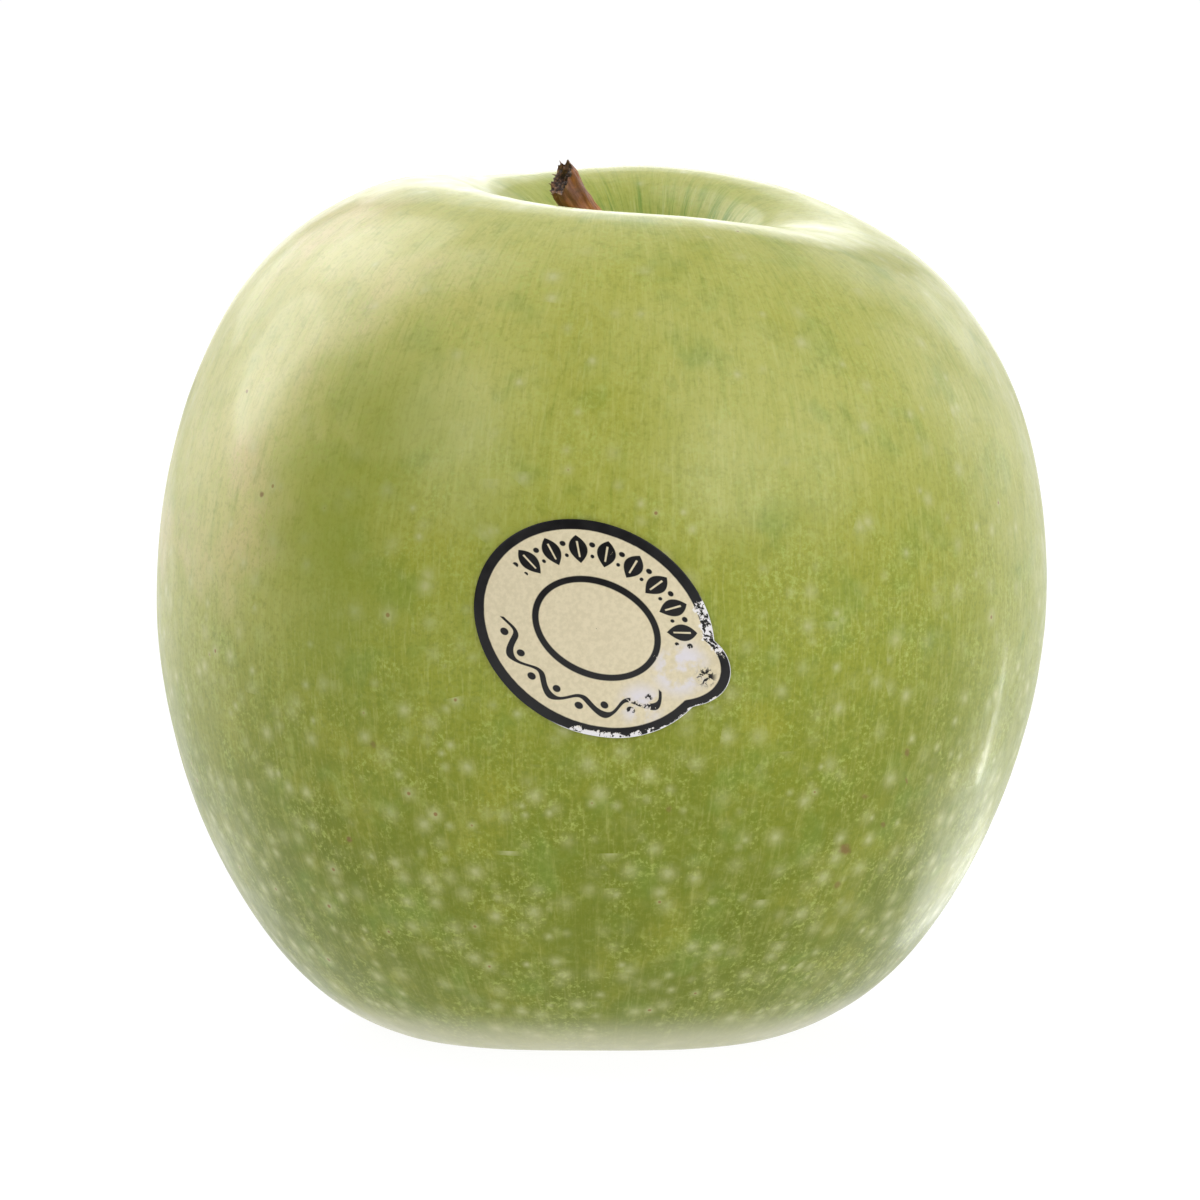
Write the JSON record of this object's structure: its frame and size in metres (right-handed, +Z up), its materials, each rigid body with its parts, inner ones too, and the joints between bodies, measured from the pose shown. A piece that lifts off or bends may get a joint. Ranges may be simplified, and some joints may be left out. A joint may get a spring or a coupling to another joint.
{
  "type": "green apple",
  "caption": "Whole fresh green apple with a woody stem leaning in its stem cavity, a dried calyx underneath and a small oval paper fruit label; stands on its base.",
  "frame": {"origin": "middle of the object's footprint, on the plane that the apple stands on", "axes": "+Z up, through the fruit from its base to its stem cavity; -Y is the cheek that carries the label; +X is to the right when that cheek is looked at"},
  "size_m": [0.0798, 0.0804, 0.0774],
  "materials": {
    "apple_skin": "satin",
    "stem_bark": "matte",
    "label_paper": "gloss",
    "dry_calyx": "matte"
  },
  "bodies": {
    "root": {"apple": "apple_skin", "stem": "stem_bark", "sticker": "label_paper", "sepal_1": "dry_calyx", "sepal_2": "dry_calyx", "sepal_3": "dry_calyx", "sepal_4": "dry_calyx", "sepal_5": "dry_calyx", "stamen_tuft": "dry_calyx"}
  },
  "joints": []
}
